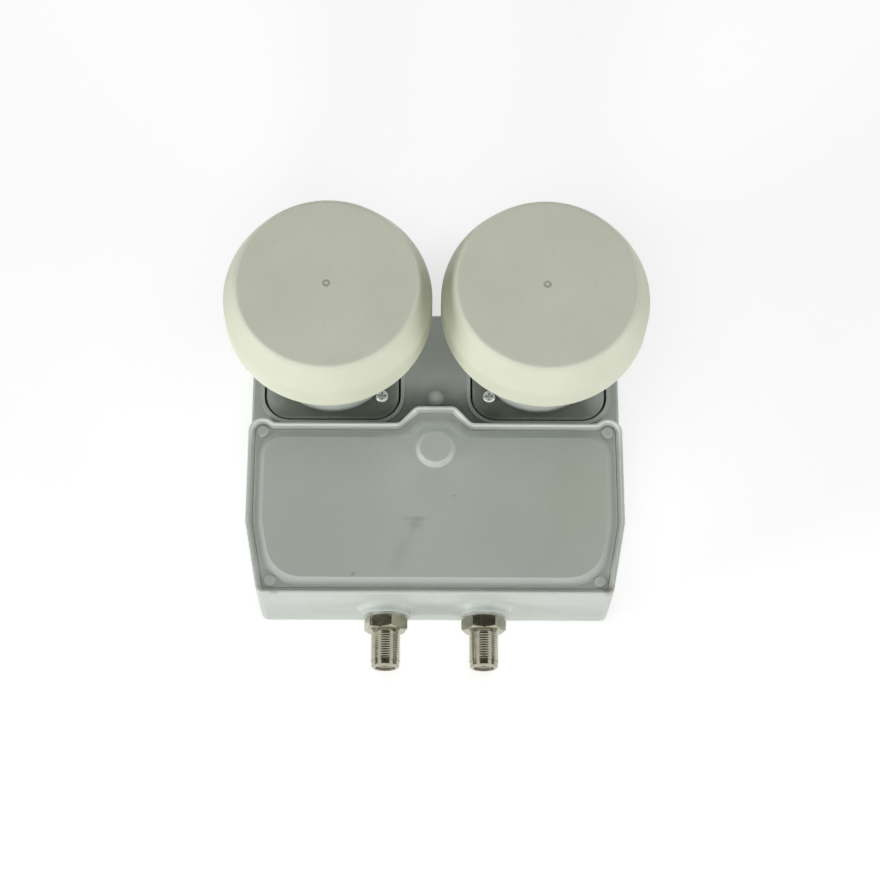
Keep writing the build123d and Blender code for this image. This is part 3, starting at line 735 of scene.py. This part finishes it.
@dataclass
class Outlet:
    """One coaxial outlet, with its thread cut into a new body that stands for the plain one."""

    side: Side
    hex_turn: float
    across_flats: float = 12.7
    shank_radius: float = 4.5
    hex_start: float = 8.2
    hex_length: float = 4.4
    chamfer_slope: float = 0.6
    relief_radius: float = 4.16
    relief_length: float = 1.0
    crest_radius: float = 4.76
    thread_depth: float = 0.07
    groove_share: float = 0.45
    pitch: float = 0.794
    lead_length: float = 1.5
    lead_radius: float = 4.60
    tip_chamfer: float = 0.5
    bore_radius: float = 3.3
    crease_angle: float = 28.0
    chamfer_steps: int = 4
    columns: int = 144
    rows_per_pitch: int = 10

    def angles(self) -> list[float]:
        """Angle of each column round the axis, with one on every corner of the hexagon."""
        first = math.radians(self.hex_turn)
        return [math.tau * i / self.columns + first for i in range(self.columns)]

    def hex_radius(self, angle: float) -> float:
        """Reach of the hexagon at an angle round the axis."""
        sixth = math.radians(60)
        return self.across_flats / 2 / math.cos((angle - math.radians(self.hex_turn)) % sixth - sixth / 2)

    def hex_face(self, angle: float, inward: float) -> float:
        """Reach of the hexagon near a chamfered face.

        Args:
            angle: angle round the axis.
            inward: distance from the face along the axis.

        Returns:
            The reach, cut back by the chamfer.
        """
        return min(self.hex_radius(angle), self.across_flats / 2 + inward / self.chamfer_slope)

    def thread_radius(self, angle: float, along: float, length: float) -> float:
        """Reach of the thread, which runs out at both ends.

        Args:
            angle: angle round the axis.
            along: distance from the thread's start.
            length: the thread's length.

        Returns:
            The reach at that place.
        """
        turn = (along / self.pitch - angle / math.tau) % 1.0
        crest = min((1 - abs(2 * turn - 1)) / self.groove_share, 1.0)
        fade = min(along, length - along, self.pitch) / self.pitch
        return self.crest_radius - self.thread_depth * (1 - crest) * fade

    def sections(self, length: float) -> list[tuple[float, list[float]]]:
        """Rings of the outer and inner surface, in order along the profile.

        Args:
            length: the body's length.

        Returns:
            For each ring its distance from the inner end and its reach at each column.
        """
        angles = self.angles()
        rings = [(0.0, [self.bore_radius] * self.columns), (0.0, [self.shank_radius] * self.columns)]
        rings.append((self.hex_start, [self.shank_radius] * self.columns))
        flat = self.across_flats / 2
        corner = flat / math.cos(math.radians(30))
        chamfer = (corner - flat) * self.chamfer_slope
        inner_steps = [chamfer * i / self.chamfer_steps for i in range(self.chamfer_steps + 1)]
        for inward in inner_steps + [self.hex_length - step for step in reversed(inner_steps)]:
            near = min(inward, self.hex_length - inward)
            rings.append((self.hex_start + inward, [self.hex_face(a, near) for a in angles]))
        relief = self.hex_start + self.hex_length
        start = relief + self.relief_length
        rings += [(place, [self.relief_radius] * self.columns) for place in (relief, start)]
        run = length - start - self.lead_length - self.tip_chamfer
        steps = round(run / self.pitch * self.rows_per_pitch)
        for step in range(steps + 1):
            along = run * step / steps
            rings.append((start + along, [self.thread_radius(a, along, run) for a in angles]))
        rings += [(start + run + lead, [self.lead_radius] * self.columns) for lead in (0.0, self.lead_length)]
        rings.append((length, [self.lead_radius - self.tip_chamfer] * self.columns))
        rings.append((length, [self.bore_radius] * self.columns))
        return rings

    def build(self) -> bpy.types.Object:
        """Make the threaded body where the plain one stands.

        Returns:
            The new piece, riding on the unit.
        """
        node = f"connector_body_{self.side.value}"
        low, high = (Vector(corner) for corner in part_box(node))
        centre = (low + high) / 2
        length = (high.y - low.y) / MM
        angles = self.angles()
        mesh = bmesh.new()
        rings = []
        for along, reaches in self.sections(length):
            ring = []
            for angle, reach in zip(angles, reaches):
                x = centre.x + reach * MM * math.cos(angle)
                z = centre.z + reach * MM * math.sin(angle)
                ring.append(mesh.verts.new((x, high.y - along * MM, z)))
            rings.append(ring)
        for one, two in zip(rings, rings[1:] + rings[:1]):
            for i in range(self.columns):
                j = (i + 1) % self.columns
                mesh.faces.new((one[i], one[j], two[j], two[i]))
        bmesh.ops.recalc_face_normals(mesh, faces=mesh.faces)
        for edge in mesh.edges:
            edge.smooth = edge.calc_face_angle(0.0) < math.radians(self.crease_angle)
        data = bpy.data.meshes.new(f"outlet_{self.side.value}")
        mesh.to_mesh(data)
        mesh.free()
        for face in data.polygons:
            face.use_smooth = True
        piece = bpy.data.objects.new(f"outlet_{self.side.value}", data)
        bpy.context.scene.collection.objects.link(piece)
        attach(piece, "root")
        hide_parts(node)
        log.info("%s: %d faces", piece.name, len(data.polygons))
        return piece

    def dress(self, piece: bpy.types.Object, finishes: Finishes) -> None:
        """Finish the body and the pieces inside it."""
        piece.data.materials.append(finishes.nickel)
        dress(f"connector_insulator_{self.side.value}", finishes.insulator)
        dress(f"connector_contact_{self.side.value}", finishes.brass)
        dress(f"connector_washer_{self.side.value}", finishes.zinc)


@dataclass
class Circuitry:
    """What the closed box holds, and the screws."""

    def dress(self, finishes: Finishes) -> None:
        """Finish the inner pieces and the screws."""
        dress("circuit_board", finishes.laminate)
        dress("shield", finishes.bare_casting)
        dress("tuning_screws", finishes.brass)
        for node in ("horn_screws", "shield_screws"):
            dress(node, finishes.zinc)
        for node in ("switch_circuit", "controller_circuit"):
            dress(node, finishes.package)
        for side in Side:
            dress(f"voltage_regulator_{side.value}", finishes.package)
            for band in ("low", "high"):
                dress(f"{band}_band_resonator_{side.value}", finishes.ceramic)
            for kind in ("straight", "bent"):
                dress(f"{kind}_probe_{side.value}", finishes.brass)
                dress(f"{kind}_probe_sleeve_{side.value}", finishes.insulator)


@dataclass
class Lamp:
    """A soft lamp that looks at the unit."""

    name: str
    azimuth: float
    elevation: float
    distance: float
    size: float
    power: float
    mirrored: bool = True

    def build(self) -> None:
        """Hang the lamp round the unit's middle."""
        data = bpy.data.lights.new(self.name, "AREA")
        data.shape = "DISK"
        data.size = self.size
        data.energy = self.power
        lamp = bpy.data.objects.new(self.name, data)
        lamp.matrix_world = looking(Vector(), direction(self.azimuth, self.elevation), self.distance)
        lamp.visible_glossy = self.mirrored
        bpy.context.scene.collection.objects.link(lamp)


@dataclass
class Flag:
    """A dark card that only shows in bright metal, as the unlit sides of a studio do."""

    azimuth: float
    elevation: float
    width: float
    depth: float
    colour: Colour
    distance: float = 0.9

    def build(self) -> None:
        """Hang the card and hide it from all but mirrored light."""
        card = level_card("flag", self.width, self.depth)
        card.matrix_world = looking(Vector(), direction(self.azimuth, self.elevation), self.distance)
        for ray in ("camera", "diffuse", "transmission", "volume_scatter", "shadow"):
            setattr(card, f"visible_{ray}", False)
        matt = Graph("flag").finish(Base_Color=self.colour, Roughness=1.0, Specular_IOR_Level=0.0)
        card.data.materials.append(matt)


@dataclass
class Studio:
    """Floor, lamps, surroundings and camera."""

    floor_size: float = 6.0
    floor_colour: Colour = (0.86, 0.86, 0.86)
    floor_roughness: float = 0.9
    floor_lift: Span = (0.46, 0.92)
    lift_reach: Span = (0.3, 1.6)
    white: Colour = (1.0, 1.0, 1.0)
    ambient: float = 0.12
    lamps: tuple[Lamp, ...] = (
        Lamp("left", azimuth=-68.0, elevation=9.0, distance=1.3, size=0.5, power=9.6),
        Lamp("front", azimuth=-5.0, elevation=14.0, distance=1.3, size=0.5, power=5.7, mirrored=False),
        Lamp("right", azimuth=64.0, elevation=9.0, distance=1.3, size=0.5, power=6.8),
        Lamp("back", azimuth=176.0, elevation=14.0, distance=1.3, size=0.5, power=3.6, mirrored=False),
        Lamp("top", azimuth=0.0, elevation=84.0, distance=1.2, size=1.3, power=4.4, mirrored=False),
    )
    flags: tuple[Flag, ...] = (
        Flag(azimuth=180.0, elevation=66.0, width=1.2, depth=0.7, colour=(0.05, 0.05, 0.035)),
        Flag(azimuth=-90.0, elevation=12.0, width=1.2, depth=0.5, colour=(0.22, 0.22, 0.20)),
        Flag(azimuth=90.0, elevation=12.0, width=1.2, depth=0.5, colour=(0.22, 0.22, 0.20)),
    )
    camera_elevation: float = 69.275
    camera_azimuth: float = -1.245
    camera_roll: float = 1.445
    camera_distance: float = 692.1
    camera_target: tuple[float, float, float] = (1.52, 6.02, 28.5)
    focal_pixels: float = 2082.5

    def build_floor(self) -> None:
        """Lay a pale floor that looks white, more so far away, and keeps the unit's shadow."""
        floor = level_card("floor", self.floor_size, self.floor_size)
        graph = Graph("floor")
        away = graph.vector("LENGTH", graph.place).outputs["Value"]
        lift = graph.span(away, self.lift_reach, self.floor_lift)
        pale = graph.finish(
            Base_Color=self.floor_colour,
            Roughness=self.floor_roughness,
            Specular_IOR_Level=0.0,
            Emission_Color=self.white,
            Emission_Strength=graph.math("MULTIPLY", background_ray(graph.tree), lift),
        )
        floor.data.materials.append(pale)

    def build_world(self) -> None:
        """Surround the unit with even light and a white background."""
        world = bpy.data.worlds.new("studio")
        world.use_nodes = True
        tree = world.node_tree
        tree.nodes.clear()
        level = tree.nodes.new("ShaderNodeMapRange")
        level.inputs["To Min"].default_value = self.ambient
        level.inputs["To Max"].default_value = 1.0
        tree.links.new(background_ray(tree), level.inputs["Value"])
        background = tree.nodes.new("ShaderNodeBackground")
        background.inputs["Color"].default_value = (*self.white, 1.0)
        tree.links.new(level.outputs["Result"], background.inputs["Strength"])
        output = tree.nodes.new("ShaderNodeOutputWorld")
        tree.links.new(background.outputs["Background"], output.inputs["Surface"])
        bpy.context.scene.world = world

    def build_camera(self) -> None:
        """Stand the camera where the photograph was taken from."""
        data = bpy.data.cameras.new("camera")
        data.sensor_width = SENSOR_WIDTH
        data.lens = self.focal_pixels * SENSOR_WIDTH / IMAGE_WIDTH
        camera = bpy.data.objects.new("camera", data)
        camera.matrix_world = looking(
            Vector(self.camera_target) * MM,
            direction(self.camera_azimuth, self.camera_elevation),
            self.camera_distance * MM,
            self.camera_roll,
        )
        bpy.context.scene.collection.objects.link(camera)
        bpy.context.scene.camera = camera

    def build(self) -> None:
        """Set up the whole studio."""
        bpy.context.scene.view_settings.view_transform = "Standard"
        self.build_floor()
        self.build_world()
        for lamp in self.lamps:
            lamp.build()
        for flag in self.flags:
            flag.build()
        self.build_camera()


# Degrees that each outlet's hexagon is turned in the photograph.
HEX_TURNS = {Side.LEFT: 14.0, Side.RIGHT: 0.0}


def main() -> None:
    """Build and dress the unit, then the studio round it."""
    logging.basicConfig(level=logging.INFO, format="%(message)s")
    finishes = Finishes()
    Casting().dress(finishes)
    for side in Side:
        Feed(side).dress(finishes)
        outlet = Outlet(side, HEX_TURNS[side])
        outlet.dress(outlet.build(), finishes)
    Circuitry().dress(finishes)
    Studio().build()


if __name__ == "__main__":
    main()
